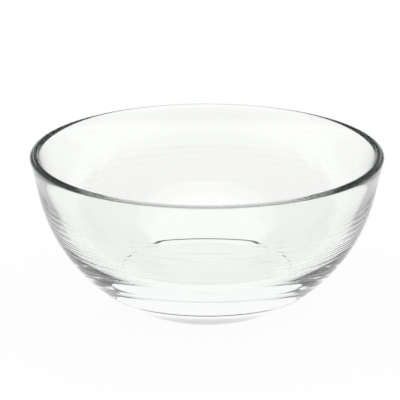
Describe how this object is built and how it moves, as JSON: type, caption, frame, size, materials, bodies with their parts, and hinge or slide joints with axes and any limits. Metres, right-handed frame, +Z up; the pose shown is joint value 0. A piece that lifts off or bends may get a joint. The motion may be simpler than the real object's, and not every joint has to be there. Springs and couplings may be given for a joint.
{
  "type": "glass serving bowl",
  "caption": "Round clear glass serving bowl with a full half-ball body, a rounded lip and a small flat base to stand on.",
  "frame": {"origin": "middle of the flat base that the bowl stands on", "axes": "+Z up along the axis of revolution, towards the open rim; X and Y level and equal by symmetry"},
  "size_m": [0.2, 0.2, 0.09],
  "materials": {
    "clear_glass": "clear, smooth and glossy, with a faint green tint in the thick glass"
  },
  "bodies": {
    "root": {"bowl": "clear_glass"}
  },
  "joints": []
}
